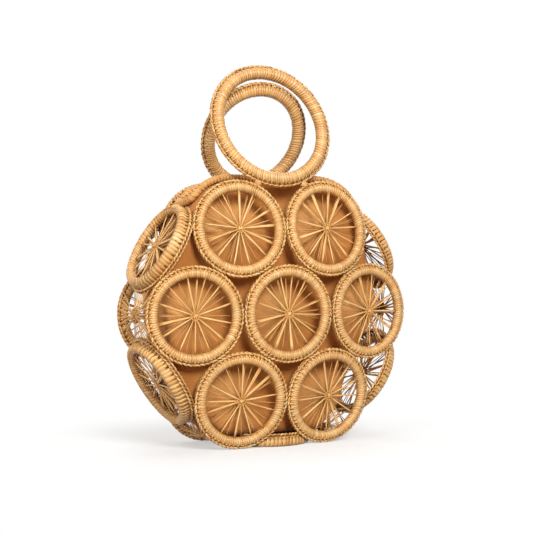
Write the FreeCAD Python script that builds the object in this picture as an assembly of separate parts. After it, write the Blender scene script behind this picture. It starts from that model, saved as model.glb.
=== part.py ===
"""Circle bag: straw-wrapped wire rings sewn into two domed panels and a ring gusset.

A cloth pouch hangs inside, and a ring handle is tied into the top notch of each panel.
Units are millimetres. X is the width, -Y the front, +Z up, and the floor is Z = 0.
"""
import FreeCAD, Part
import math
import os

V = FreeCAD.Vector

# Wrapped rings, alike in the panels and in the gusset
ring_radius = 39.2
wrap_diameter = 8.8
core_diameter = 3.0
core_clearance = 0.1
border_diameter = 2.2
sewing_gap = 0.3

# Spoked webs
hub_diameter = 10.0
spoke_width = 1.7
web_thickness = 1.4
spoke_count = 14

# Dome of the two panels, whose middle rings stand out past the gusset rings' borders
panel_room = 6.0
dome_tilt_deg = 10.5
floor_gap = 0.2

# Gusset rings standing across the depth, and the base ring on the floor
side_border_inset = 7.0
side_web_inset = 3.0
base_flat_depth = 0.4
base_border_inset = 6.0
strap_diameter = 1.6
strap_count = 16

# Star webs in the corners between gusset rings
corner_hub_diameter = 7.0
corner_spoke_diameter = 1.2

# Ring handles; the rear one swings through under the top of the front one
front_handle_radius = 54.9
nest_clearance = 0.6
handle_wrap_diameter = 11.8
handle_core_diameter = 5.0
front_lean_deg = 19.2
rear_lean_deg = 23.5
tie_diameter = 2.4
tie_angle_deg = -56.0

# Cloth pouch inside the cage of rings
pouch_wall = 1.2
pouch_clearance = 1.2
pouch_side_room = 6.0
pouch_tuck = 3.0
mouth_half_depth = 13.0
neck_start = 62.0
hem_diameter = 6.8
hem_fold = 0.15
hem_show = 5.5
hem_end_deg = 145.0

# Overrun of cuts, and first step of the searches for a seat
cut_overrun = 10.0
search_step = 1.0

# Outline of the pouch below its shoulders, in shares of its half width and drop; the foot sags to the left
pouch_right_shares = [(0.94, 0.42), (0.96, 0.0), (0.62, -0.45), (0.62, -0.7), (0.56, -0.84), (0.38, -1.0)]
pouch_left_shares = [(0.94, 0.42), (1.0, 0.0), (0.91, -0.51), (0.85, -0.62), (0.74, -0.76), (0.5, -1.0)]
# Directions of a corner web's spokes round each border, from the point nearest its hub
side_anchor_degs = (-22.5, 0.0, 22.5)
panel_anchor_degs = (-18.0, -6.0, 6.0, 18.0)

wrap_radius = wrap_diameter / 2
core_radius = core_diameter / 2
border_radius = border_diameter / 2
border_ring_radius = ring_radius + wrap_radius + sewing_gap + border_radius
half_depth = border_ring_radius + panel_room
handle_wrap_radius = handle_wrap_diameter / 2
tie_radius = tie_diameter / 2
hem_radius = hem_diameter / 2
dome_tilt = math.radians(dome_tilt_deg)
dome_drop = border_ring_radius * math.sin(dome_tilt)
# Borders of neighbouring outer rings lie one sewing gap apart
ring_pitch = border_ring_radius * (3 + math.cos(dome_tilt)) / 2 + border_diameter + sewing_gap

panel_degs = {
    "top_left": 120.0,
    "top_right": 60.0,
    "mid_left": 180.0,
    "centre": None,
    "mid_right": 0.0,
    "low_left": 240.0,
    "low_right": 300.0,
}
side_degs = {
    "side_{}_upper_left": 150.0,
    "side_{}_lower_left": 210.0,
    "side_{}_upper_right": 30.0,
    "side_{}_lower_right": 330.0,
}
corner_degs = {"left": 180.0, "right": 0.0, "low_left": 240.0, "low_right": 300.0}


class Place:
    """A centre with a normal and two in-plane axes, across and rise."""

    def __init__(self, centre, normal, across, rise):
        self.centre = centre
        self.normal = normal
        self.across = across
        self.rise = rise

    def at(self, radius, angle):
        """Point of a circle in the plane, with the angle counted from rise towards across."""
        return self.centre + (self.rise * math.cos(angle) + self.across * math.sin(angle)) * radius

    def along(self, angle):
        """Direction in which the circle runs at an angle."""
        return self.across * math.cos(angle) - self.rise * math.sin(angle)

    def shifted(self, offset):
        """The same place moved along its normal."""
        return Place(self.centre + self.normal * offset, self.normal, self.across, self.rise)


def radial(degrees):
    """Direction in the XZ plane."""
    angle = math.radians(degrees)
    return V(math.cos(angle), 0, math.sin(angle))


def tangent(degrees):
    """Direction square to radial in the XZ plane."""
    angle = math.radians(degrees)
    return V(-math.sin(angle), 0, math.cos(angle))


# Height of the panels' middle, so that the lowest border stands on the floor
low_lean = math.sin(dome_tilt) * radial(panel_degs["low_left"]).z
panel_height = (
    -ring_pitch * radial(panel_degs["low_left"]).z
    + border_ring_radius * math.sqrt(1 - low_lean * low_lean)
    + border_radius
    + floor_gap
)
middle = V(0, 0, panel_height)


def panel_place(degrees, out):
    """Place of a panel ring; out is the panel's outward direction."""
    if degrees is None:
        return Place(middle + out * half_depth, out, V(1, 0, 0), V(0, 0, 1))
    away = radial(degrees)
    centre = middle + away * ring_pitch + out * (half_depth - dome_drop)
    normal = away * math.sin(dome_tilt) + out * math.cos(dome_tilt)
    rise = away * math.cos(dome_tilt) - out * math.sin(dome_tilt)
    return Place(centre, normal, tangent(degrees), rise)


def side_place(degrees, reach):
    """Place of a gusset ring, whose normal points away from the bag's middle."""
    away = radial(degrees)
    return Place(middle + away * reach, away, V(0, 1, 0), tangent(degrees))


def base_place():
    """Place of the gusset ring that lies on the floor."""
    return Place(V(0, 0, wrap_radius - base_flat_depth), V(0, 0, -1), V(0, 1, 0), V(1, 0, 0))


def circle_gap(place, radius, other, other_radius):
    """Least distance between two circles in space."""
    steps = 720
    least = None
    for index in range(steps):
        run = place.at(radius, 2 * math.pi * index / steps) - other.centre
        level = run.dot(other.normal)
        across = math.sqrt(run.dot(run) - level * level) - other_radius
        gap = math.hypot(level, across)
        least = gap if least is None else min(least, gap)
    return least


def settle(gap_at, start, step, target):
    """Value, counted down from start by step, at which a shrinking gap reaches its target."""
    value = start
    while gap_at(value - step) > target:
        value -= step
    for _ in range(24):
        step /= 2
        if gap_at(value - step) > target:
            value -= step
    return value


def side_gap(reach):
    """Distance between the centre lines of a gusset ring's border and a panel ring's border."""
    level = side_place(side_degs["side_{}_upper_left"], reach).shifted(-side_border_inset)
    panel = panel_place(panel_degs["top_left"], V(0, -1, 0))
    return circle_gap(level, border_ring_radius, panel, border_ring_radius)


def base_gap(radius):
    """Distance between the centre lines of the base ring's border and a low panel ring's border."""
    level = base_place().shifted(-base_border_inset)
    panel = panel_place(panel_degs["low_left"], V(0, -1, 0))
    return circle_gap(level, radius, panel, border_ring_radius)


# Gusset borders are sewn to the panel borders beside them
sewn_distance = border_diameter + sewing_gap
side_ring_reach = settle(side_gap, ring_pitch + border_ring_radius, search_step, sewn_distance)
base_border_radius = settle(base_gap, ring_radius, -search_step, sewn_distance)


def torus(place, radius, section):
    """Round ring of a round section."""
    return Part.makeTorus(radius, section, place.centre, place.normal)


def wrapped_ring(place, radius, section, core):
    """Straw wrapping, hollow where the core wire runs."""
    return torus(place, radius, section).cut(torus(place, radius, core + core_clearance))


def rod(start, end, radius):
    """Round rod between two points."""
    run = end - start
    return Part.makeCylinder(radius, run.Length, start, run)


def star_web(place, inset):
    """Flat star of spokes from a hub to just short of the ring's wrapping."""
    level = max(inset - web_thickness / 2, 0)
    reach = ring_radius - math.sqrt(wrap_radius ** 2 - level ** 2) - sewing_gap
    half_width = spoke_width / 2
    hub_radius = hub_diameter / 2
    root = math.asin(half_width / hub_radius)
    tip = math.asin(half_width / reach)
    flat = place.shifted(-inset - web_thickness / 2)
    points = []
    for index in range(spoke_count):
        angle = 2 * math.pi * (index + 0.5) / spoke_count
        points.append(flat.at(hub_radius, angle - root))
        points.append(flat.at(reach, angle - tip))
        points.append(flat.at(reach, angle + tip))
        points.append(flat.at(hub_radius, angle + root))
    outline = Part.makePolygon(points + points[:1])
    return Part.Face(outline).extrude(place.normal * web_thickness)


def side_border(place, radius, inset):
    """Border cord inside a gusset ring, with the straps that tie it to the wrapping."""
    level = place.shifted(-inset)
    cord = torus(level, radius, border_radius)
    straps = []
    for index in range(strap_count):
        angle = 2 * math.pi * (index + 0.5) / strap_count
        start = level.at(radius, angle)
        target = place.at(ring_radius, angle)
        run = target - start
        length = run.Length - wrap_radius - sewing_gap
        straps.append(rod(start, start + run.normalize() * length, strap_diameter / 2))
    return cord.multiFuse(straps)


def anchor(place, radius, angle, hub):
    """Spoke end just short of a border cord, on the side that faces the hub."""
    point = place.at(radius, angle)
    run = (hub - point).normalize()
    slant = run.cross(place.along(angle)).Length
    return point + run * ((border_radius + sewing_gap + corner_spoke_diameter / 2) / slant)


def corner_web(hub, borders):
    """Knotted hub with spokes to the borders around it; borders lists (place, radius, nearest, spread)."""
    rods = []
    for place, radius, nearest, spread in borders:
        for degrees in spread:
            end = anchor(place, radius, nearest + math.radians(degrees), hub)
            rods.append(rod(hub, end, corner_spoke_diameter / 2))
    return Part.makeSphere(corner_hub_diameter / 2, hub).multiFuse(rods)


def nearest_angle(place, point):
    """Angle on a place's circle that points at a point."""
    run = point - place.centre
    return math.atan2(run.dot(place.across), run.dot(place.rise))


def save(node, solids):
    """Write one node as one STEP file."""
    shape = solids[0] if len(solids) == 1 else Part.makeCompound(solids)
    shape.exportStep("parts/" + node + ".step")


def build_panel(name, out):
    """Seven wrapped rings of one panel with their webs, borders and core wires."""
    borders = []
    cores = []
    for spot, degrees in panel_degs.items():
        place = panel_place(degrees, out)
        save(name + "_ring_" + spot, [wrapped_ring(place, ring_radius, wrap_radius, core_radius)])
        save(name + "_web_" + spot, [star_web(place, 0)])
        borders.append(torus(place, border_ring_radius, border_radius))
        cores.append(torus(place, ring_radius, core_radius))
    save(name + "_borders", borders)
    save(name + "_cores", cores)


def build_gusset():
    """Four standing rings and the base ring, with webs, strapped borders and core wires."""
    borders = []
    cores = []
    for name, degrees in side_degs.items():
        place = side_place(degrees, side_ring_reach)
        save(name.format("ring"), [wrapped_ring(place, ring_radius, wrap_radius, core_radius)])
        save(name.format("web"), [star_web(place, side_web_inset)])
        borders.append(side_border(place, border_ring_radius, side_border_inset))
        cores.append(torus(place, ring_radius, core_radius))
    base = base_place()
    half = ring_radius + wrap_diameter
    below = Part.makeBox(2 * half, 2 * half, wrap_diameter, V(-half, -half, -wrap_diameter))
    save("base_ring", [wrapped_ring(base, ring_radius, wrap_radius, core_radius).cut(below)])
    save("base_web", [star_web(base, side_web_inset)])
    borders.append(side_border(base, base_border_radius, base_border_inset))
    cores.append(torus(base, ring_radius, core_radius))
    save("side_borders", borders)
    save("side_cores", cores)


def build_corners():
    """Star webs that close the corners between neighbouring gusset rings."""
    front = V(0, -1, 0)
    for name, degrees in corner_degs.items():
        away = radial(degrees)
        hub = middle + away * (side_ring_reach - side_border_inset / 2 + dome_drop)
        borders = []
        for turn in (-30.0, 30.0):
            beside = (degrees + turn) % 360
            if beside == 270.0:
                level = base_place().shifted(-base_border_inset)
                borders.append((level, base_border_radius, nearest_angle(level, hub), side_anchor_degs))
            else:
                level = side_place(beside, side_ring_reach).shifted(-side_border_inset)
                borders.append((level, border_ring_radius, nearest_angle(level, hub), side_anchor_degs))
        for out in (front, -front):
            place = panel_place(degrees, out)
            borders.append((place, border_ring_radius, nearest_angle(place, hub), panel_anchor_degs))
        save("corner_web_" + name, [corner_web(hub, borders)])


def handle_ties(out):
    """The two points of a panel's top notch at which its handle is tied."""
    reach = border_ring_radius + border_radius + sewing_gap + tie_radius
    points = []
    for spot, mirror in (("top_left", 1), ("top_right", -1)):
        place = panel_place(panel_degs[spot], out)
        points.append(place.at(reach, mirror * math.radians(tie_angle_deg)))
    return points


def handle_place(out, radius, lean_deg):
    """Place of a ring handle that leans inwards from its ties."""
    tie = handle_ties(out)[0]
    to_tie = radius + handle_wrap_radius + sewing_gap + border_diameter + sewing_gap + tie_radius
    drop = math.sqrt(to_tie ** 2 - tie.x ** 2)
    lean = math.radians(lean_deg)
    up = V(0, 0, 1) * math.cos(lean) - out * math.sin(lean)
    normal = out * math.cos(lean) + V(0, 0, 1) * math.sin(lean)
    return Place(V(0, tie.y, tie.z) + up * drop, normal, V(1, 0, 0), up)


def nest_gap(radius):
    """Room between the rear handle's far edge and the front handle's top as the rear one swings."""
    rear = V(0, 1, 0)
    tie = handle_ties(rear)[0]
    pivot = V(0, tie.y, tie.z)
    front_top = handle_place(-rear, front_handle_radius, front_lean_deg).at(front_handle_radius, 0)
    rear_top = handle_place(rear, radius, rear_lean_deg).at(radius, 0)
    far_edge = rear_top.distanceToPoint(pivot) + handle_wrap_radius + sewing_gap + border_diameter
    return front_top.distanceToPoint(pivot) - handle_wrap_radius - far_edge


def panel_room_at(reach):
    """Half depth that the panels leave inside, at a distance from the bag's middle."""
    slope = (reach - ring_pitch) * math.tan(dome_tilt)
    return half_depth - dome_drop - slope - wrap_radius / math.cos(dome_tilt) - pouch_clearance


# Pouch sizes that follow the cage around it
pouch_half_width = side_ring_reach - side_border_inset - pouch_side_room
pouch_half_depth = panel_room_at(pouch_half_width)
base_top = wrap_radius - base_flat_depth + base_border_inset + border_radius
pouch_drop = panel_height - base_top - sewing_gap
foot_corner = V(-pouch_half_width * pouch_left_shares[-1][0], 0, -pouch_drop)
foot_half_depth = panel_room_at(foot_corner.dot(radial(panel_degs["low_left"])))
hem_rise = border_ring_radius + border_radius + hem_show
top_ring = radial(panel_degs["top_right"]) * ring_pitch
rear_handle_radius = settle(nest_gap, front_handle_radius / 2, -search_step, nest_clearance)


def build_handle(name, out, radius, lean_deg):
    """Ring handle with its core, its border and the ties that hold it to the panel."""
    place = handle_place(out, radius, lean_deg)
    border_line = radius + handle_wrap_radius + sewing_gap + border_radius
    ties = handle_ties(out)
    save(name + "_ring", [wrapped_ring(place, radius, handle_wrap_radius, handle_core_diameter / 2)])
    save(name + "_core", [torus(place, radius, handle_core_diameter / 2)])
    save(name + "_border", [torus(place, border_line, border_radius)])
    save(name + "_ties", [Part.makeSphere(tie_radius, point) for point in ties])
    centre = [round(value, 3) for value in place.centre]
    print(name, "radius", round(radius, 3), "tie", [round(value, 3) for value in ties[0]], "centre", centre)


def closed(right, left):
    """Closed outline from its right half and its left half, each drawn on the right from the top down."""
    turned = [V(-point.x, 0, point.z) for point in reversed(left)]
    return [middle + point for point in right + turned]


def pouch_rim():
    """Right half of the pouch's top edge, just under the hem over the top ring."""
    rim = hem_rise - hem_diameter - sewing_gap
    half_turn_deg = 180.0
    degs = (90.0, half_turn_deg - (hem_end_deg + 90.0) / 2, half_turn_deg - hem_end_deg)
    return [top_ring + radial(degrees) * rim for degrees in degs]


def pouch_side(shares, wall):
    """One side of the pouch below its rim, drawn in by a wall; tucked inside the upper gusset border."""
    degrees = side_degs["side_{}_upper_right"]
    level = side_ring_reach - side_border_inset - pouch_tuck - wall
    points = [radial(degrees) * level + tangent(degrees) * (border_ring_radius + pouch_tuck)]
    for width_share, height_share in shares:
        points.append(V((pouch_half_width - wall) * width_share, 0, (pouch_drop - wall) * height_share))
    return points


def pouch_profile(wall, rise):
    """Profile of the pouch, wide below and narrow at the mouth, which a cut carries on up by rise."""
    low = middle.z - pouch_drop + wall
    neck = middle.z + neck_start
    top = (middle + pouch_rim()[0]).z
    wide = pouch_half_depth - wall
    narrow = mouth_half_depth - wall
    foot = foot_half_depth - wall
    below = [V(0, foot, low), V(0, wide, middle.z), V(0, wide, neck)]
    right = below + [V(0, narrow, top), V(0, narrow, top + rise)]
    left = [V(0, -point.y, point.z) for point in reversed(right)]
    return right + left


def hem_line(y):
    """Points of one long side of the hem: three over the left top ring, then three over the right one."""
    rise = hem_rise - hem_radius
    half_turn_deg = 180.0
    degs = (hem_end_deg, (hem_end_deg + 90.0) / 2, 90.0)
    left = middle + V(-top_ring.x, y, top_ring.z)
    right = middle + V(top_ring.x, y, top_ring.z)
    over_left = [left + radial(degrees) * rise for degrees in degs]
    over_right = [right + radial(half_turn_deg - degrees) * rise for degrees in reversed(degs)]
    return over_left + over_right


def hem_run(line):
    """Rolled edge along one long side of the hem."""
    first = Part.Arc(*line[:3]).toShape()
    between = Part.LineSegment(line[2], line[3]).toShape()
    last = Part.Arc(*line[3:]).toShape()
    section = Part.Wire(Part.Circle(line[0], tangent(hem_end_deg), hem_radius).toShape())
    return Part.Wire([first, between, last]).makePipeShell([section], True, False)


def prism(points, run):
    """Solid drawn from a closed outline, centred on it along the run."""
    shifted = [point - run / 2 for point in points]
    return Part.Face(Part.makePolygon(shifted + shifted[:1])).extrude(run)


def build_pouch():
    """Cloth pouch open at the top, and the rolled hem round its mouth."""
    depth = V(0, 4 * pouch_half_depth, 0)
    width = V(4 * pouch_half_width, 0, 0)
    rim = pouch_rim()
    lid = V(rim[-1].x - pouch_wall, 0, rim[0].z + cut_overrun)
    opening = [lid, V(lid.x, 0, rim[-1].z)]
    outer = closed(rim + pouch_side(pouch_right_shares, 0), rim + pouch_side(pouch_left_shares, 0))
    right_inside = opening + pouch_side(pouch_right_shares, pouch_wall)
    left_inside = opening + pouch_side(pouch_left_shares, pouch_wall)
    shell = prism(outer, depth).common(prism(pouch_profile(0, pouch_wall), width))
    hollow = prism(closed(right_inside, left_inside), depth)
    save("liner_pouch", [shell.cut(hollow.common(prism(pouch_profile(pouch_wall, cut_overrun), width)))])

    front = hem_line(pouch_wall / 2 - mouth_half_depth)
    back = hem_line(mouth_half_depth - pouch_wall / 2)
    runs = [hem_run(front), hem_run(back)]
    for near, far in ((front[0], back[0]), (front[-1], back[-1])):
        runs.append(rod(near, far, hem_radius - hem_fold))
        runs.extend(Part.makeSphere(hem_radius + hem_fold, point, V(0, 1, 0)) for point in (near, far))
    save("liner_hem", [runs[0].multiFuse(runs[1:])])


os.makedirs("parts", exist_ok=True)
build_panel("front", V(0, -1, 0))
build_panel("back", V(0, 1, 0))
build_gusset()
build_corners()
build_handle("front_handle", V(0, -1, 0), front_handle_radius, front_lean_deg)
build_handle("rear_handle", V(0, 1, 0), rear_handle_radius, rear_lean_deg)
build_pouch()
print("panel height", round(panel_height, 3), "ring pitch", round(ring_pitch, 3))
print("gusset reach", round(side_ring_reach, 3), "base border", round(base_border_radius, 3))
print("pouch", round(pouch_half_width, 2), round(pouch_half_depth, 2), round(pouch_drop, 2))
print("pouch foot", round(foot_half_depth, 2))
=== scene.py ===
"""Dressed circle bag: straw rings, spoked webs, chain-stitched borders, a cloth pouch and ring handles."""
import logging
import math
from dataclasses import dataclass, field
from enum import Enum
from typing import ClassVar, Sequence

import bpy
import numpy as np
from mathutils import Matrix, Vector


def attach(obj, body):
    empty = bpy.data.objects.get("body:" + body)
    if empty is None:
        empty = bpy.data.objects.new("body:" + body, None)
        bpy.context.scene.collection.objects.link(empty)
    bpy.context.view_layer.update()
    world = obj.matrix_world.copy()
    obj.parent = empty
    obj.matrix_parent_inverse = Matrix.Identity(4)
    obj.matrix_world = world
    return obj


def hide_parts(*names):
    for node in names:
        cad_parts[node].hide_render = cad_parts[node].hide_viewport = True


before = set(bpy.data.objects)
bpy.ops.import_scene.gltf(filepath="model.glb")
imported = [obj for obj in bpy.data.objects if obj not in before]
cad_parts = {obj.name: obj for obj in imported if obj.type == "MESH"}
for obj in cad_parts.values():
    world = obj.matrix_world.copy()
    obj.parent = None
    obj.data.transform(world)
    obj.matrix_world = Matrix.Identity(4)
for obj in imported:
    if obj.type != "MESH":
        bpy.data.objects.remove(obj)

log = logging.getLogger("circle_bag")
TURN = 2 * math.pi
Colour = tuple[float, float, float]
Outline = tuple[tuple[float, float], ...]


class Body(Enum):
    """The bodies that pieces move with."""

    BAG = "bag_body"
    FRONT_HANDLE = "front_handle"
    REAR_HANDLE = "rear_handle"


class Spot(Enum):
    """Places of the rings in a panel, with their directions from the middle in degrees."""

    TOP_LEFT = ("top_left", 120.0)
    TOP_RIGHT = ("top_right", 60.0)
    MID_LEFT = ("mid_left", 180.0)
    CENTRE = ("centre", None)
    MID_RIGHT = ("mid_right", 0.0)
    LOW_LEFT = ("low_left", 240.0)
    LOW_RIGHT = ("low_right", 300.0)


class SideSpot(Enum):
    """Places of the standing gusset rings, with their directions from the middle in degrees."""

    UPPER_LEFT = ("upper_left", 150.0)
    LOWER_LEFT = ("lower_left", 210.0)
    UPPER_RIGHT = ("upper_right", 30.0)
    LOWER_RIGHT = ("lower_right", 330.0)


class CornerSpot(Enum):
    """Places of the corner webs, with their directions from the middle in degrees."""

    LEFT = ("left", 180.0)
    RIGHT = ("right", 0.0)
    LOW_LEFT = ("low_left", 240.0)
    LOW_RIGHT = ("low_right", 300.0)


class Face(Enum):
    """The two panels of the bag, with their outward directions."""

    FRONT = ("front", -1.0)
    BACK = ("back", 1.0)


def unit_vector(values: np.ndarray) -> np.ndarray:
    """Vectors along the last axis, made one long."""
    return values / np.maximum(np.linalg.norm(values, axis=-1, keepdims=True), 1e-12)


def radial(degrees: float) -> np.ndarray:
    """Direction in the XZ plane."""
    angle = math.radians(degrees)
    return np.array((math.cos(angle), 0.0, math.sin(angle)))


def tangent(degrees: float) -> np.ndarray:
    """Direction square to radial in the XZ plane."""
    angle = math.radians(degrees)
    return np.array((-math.sin(angle), 0.0, math.cos(angle)))


@dataclass(frozen=True)
class Place:
    """A ring's centre, its normal and two axes in its plane."""

    centre: np.ndarray
    normal: np.ndarray
    across: np.ndarray
    rise: np.ndarray

    def points(self, radius: np.ndarray, angle: np.ndarray, lift: np.ndarray) -> np.ndarray:
        """Points given by radius, angle from rise and lift along the normal.

        Args:
            radius: Distances from the centre in the plane.
            angle: Angles in radians, from rise towards across.
            lift: Distances along the normal.

        Returns:
            Points with one more axis than the arguments.
        """
        radius, angle, lift = np.broadcast_arrays(radius, angle, lift)
        flat = np.cos(angle)[..., None] * self.rise + np.sin(angle)[..., None] * self.across
        return self.centre + flat * radius[..., None] + self.normal * lift[..., None]

    def outward(self, angle: np.ndarray) -> np.ndarray:
        """Directions away from the centre at the angles."""
        return np.cos(angle)[..., None] * self.rise + np.sin(angle)[..., None] * self.across

    def shifted(self, lift: float) -> "Place":
        """The same place moved along its normal."""
        return Place(self.centre + self.normal * lift, self.normal, self.across, self.rise)

    def angle_to(self, point: np.ndarray) -> float:
        """Angle at which a point lies."""
        run = point - self.centre
        return math.atan2(float(run @ self.across), float(run @ self.rise))


@dataclass(frozen=True)
class Cage:
    """Sizes of the cage of rings, in metres."""

    ring_radius: float = 0.0392
    wrap_radius: float = 0.0044
    border_ring_radius: float = 0.0450
    ring_pitch: float = 0.092123
    half_depth: float = 0.051
    dome_tilt: float = math.radians(10.5)
    middle_height: float = 0.125517
    side_reach: float = 0.129134
    side_border_inset: float = 0.007
    base_level: float = 0.004
    base_border_inset: float = 0.006
    base_border_radius: float = 0.041255

    @property
    def middle(self) -> np.ndarray:
        """Middle of the bag's body."""
        return np.array((0.0, 0.0, self.middle_height))

    @property
    def dome_drop(self) -> float:
        """How far the outer rings' centres lie behind the middle ring."""
        return self.border_ring_radius * math.sin(self.dome_tilt)

    def panel_place(self, spot: Spot, face: Face) -> Place:
        """Place of a ring of a panel.

        Args:
            spot: Which ring.
            face: Which panel.

        Returns:
            The ring's place, with its normal outwards.
        """
        out = np.array((0.0, face.value[1], 0.0))
        degrees = spot.value[1]
        if degrees is None:
            return Place(self.middle + out * self.half_depth, out, np.array((1.0, 0, 0)), np.array((0, 0, 1.0)))
        away = radial(degrees)
        centre = self.middle + away * self.ring_pitch + out * (self.half_depth - self.dome_drop)
        normal = away * math.sin(self.dome_tilt) + out * math.cos(self.dome_tilt)
        rise = away * math.cos(self.dome_tilt) - out * math.sin(self.dome_tilt)
        return Place(centre, normal, tangent(degrees), rise)

    def side_place(self, degrees: float) -> Place:
        """Place of a standing gusset ring."""
        away = radial(degrees)
        return Place(self.middle + away * self.side_reach, away, np.array((0, 1.0, 0)), tangent(degrees))

    def base_place(self) -> Place:
        """Place of the ring that lies on the floor."""
        centre = np.array((0, 0, self.base_level))
        return Place(centre, np.array((0, 0, -1.0)), np.array((0, 1.0, 0)), np.array((1.0, 0, 0)))


CAGE = Cage()


class Bench:
    """Small tools for meshes."""

    @staticmethod
    def clear() -> None:
        """Nothing stays selected or active in edit mode."""
        if bpy.context.object and bpy.context.object.mode != "OBJECT":
            bpy.ops.object.mode_set(mode="OBJECT")
        bpy.ops.object.select_all(action="DESELECT")

    @staticmethod
    def pick(piece: bpy.types.Object) -> None:
        """Select one piece alone and make it active."""
        Bench.clear()
        piece.select_set(True)
        bpy.context.view_layer.objects.active = piece

    @staticmethod
    def cut_levels(piece: bpy.types.Object, cuts: int) -> None:
        """Cut the upright edges of a cylinder.

        Args:
            piece: The cylinder.
            cuts: Cuts in each edge.
        """
        mesh = piece.data
        bpy.context.tool_settings.mesh_select_mode = (False, True, False)
        bpy.ops.object.mode_set(mode="EDIT")
        bpy.ops.mesh.select_all(action="DESELECT")
        bpy.ops.object.mode_set(mode="OBJECT")
        for edge in mesh.edges:
            ends = [mesh.vertices[index].co.z for index in edge.vertices]
            edge.select = abs(ends[0] - ends[1]) > 0.5
        bpy.ops.object.mode_set(mode="EDIT")
        bpy.ops.mesh.subdivide(number_cuts=cuts)
        bpy.ops.mesh.select_all(action="DESELECT")
        bpy.ops.object.mode_set(mode="OBJECT")

    @staticmethod
    def spun_ring(name: str, radius: float, section: float, segments: int, around: int) -> bpy.types.Object:
        """Spin a circle into a ring round Z.

        Args:
            name: The piece's name.
            radius: Radius of its middle line.
            section: Radius of its section.
            segments: Steps round the ring.
            around: Corners of the section.

        Returns:
            The new object.
        """
        Bench.clear()
        bpy.ops.mesh.primitive_circle_add(vertices=around, radius=section, location=(radius, 0, 0),
                                          rotation=(math.pi / 2, 0, 0))
        piece = bpy.context.object
        piece.name = piece.data.name = name
        bpy.ops.object.transform_apply(location=True, rotation=True, scale=True)
        bpy.ops.object.mode_set(mode="EDIT")
        bpy.ops.mesh.select_all(action="SELECT")
        bpy.ops.mesh.spin(steps=segments, angle=TURN, center=(0, 0, 0), axis=(0, 0, 1))
        bpy.ops.mesh.select_all(action="SELECT")
        bpy.ops.mesh.remove_doubles(threshold=section * 0.001)
        bpy.ops.object.mode_set(mode="OBJECT")
        return piece

    @staticmethod
    def points(piece: bpy.types.Object) -> np.ndarray:
        """Vertex positions of a piece."""
        flat = np.empty(len(piece.data.vertices) * 3)
        piece.data.vertices.foreach_get("co", flat)
        return flat.reshape(-1, 3)

    @staticmethod
    def ring_angles(piece: bpy.types.Object, radius: float, segments: int) -> tuple[np.ndarray, np.ndarray]:
        """Where the vertices of a spun ring lie.

        Args:
            piece: The ring.
            radius: Radius of its middle line.
            segments: Steps round the ring.

        Returns:
            Angles round the section, from outwards, and steps round the ring.
        """
        points = Bench.points(piece)
        minor = np.arctan2(points[:, 2], np.hypot(points[:, 0], points[:, 1]) - radius)
        major = np.arctan2(points[:, 1], points[:, 0]) % TURN
        return minor, np.rint(major / TURN * segments).astype(int) % segments

    @staticmethod
    def move(piece: bpy.types.Object, points: np.ndarray) -> None:
        """Give a piece's vertices new positions."""
        piece.data.vertices.foreach_set("co", np.ascontiguousarray(points, dtype=np.float32).ravel())
        piece.data.update()

    @staticmethod
    def attribute(piece: bpy.types.Object, name: str, values: np.ndarray) -> None:
        """Store one number or one vector for each vertex.

        Args:
            piece: The mesh object.
            name: The attribute's name.
            values: One row for each vertex.
        """
        vector = values.ndim == 2
        layer = piece.data.attributes.new(name, "FLOAT_VECTOR" if vector else "FLOAT", "POINT")
        layer.data.foreach_set("vector" if vector else "value", np.ascontiguousarray(values, dtype=np.float32).ravel())

    @staticmethod
    def outwards(piece: bpy.types.Object) -> None:
        """Turn all faces outwards."""
        Bench.pick(piece)
        bpy.ops.object.mode_set(mode="EDIT")
        bpy.ops.mesh.select_all(action="SELECT")
        bpy.ops.mesh.normals_make_consistent(inside=False)
        bpy.ops.object.mode_set(mode="OBJECT")

    @staticmethod
    def apply(piece: bpy.types.Object, kind: str, **settings: object) -> None:
        """Add a modifier with its settings and apply it.

        Args:
            piece: The mesh object.
            kind: The modifier's type.
            settings: Values of the modifier's properties.
        """
        Bench.pick(piece)
        modifier = piece.modifiers.new(kind.lower(), kind)
        for key, value in settings.items():
            setattr(modifier, key, value)
        bpy.ops.object.modifier_apply(modifier=modifier.name)


class StrandUnit:
    """One straight strand, modelled once and then laid along many lines."""

    def __init__(self, sides: int, cuts: int) -> None:
        """Model the strand.

        Args:
            sides: Corners of its section.
            cuts: Cuts along its length.
        """
        Bench.clear()
        bpy.ops.mesh.primitive_cylinder_add(vertices=sides, radius=1.0, depth=1.0, location=(0, 0, 0.5))
        piece = bpy.context.object
        bpy.ops.object.transform_apply(location=True, rotation=True, scale=True)
        mesh = piece.data
        Bench.cut_levels(piece, cuts)
        points = Bench.points(piece)
        self.levels, self.level_of = np.unique(np.round(points[:, 2], 5), return_inverse=True)
        self.side = points[:, 1]
        self.face = points[:, 0]
        self.totals = np.array([len(face.vertices) for face in mesh.polygons])
        self.corners = np.concatenate([list(face.vertices) for face in mesh.polygons])
        bpy.data.objects.remove(piece)
        bpy.data.meshes.remove(mesh)


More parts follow.
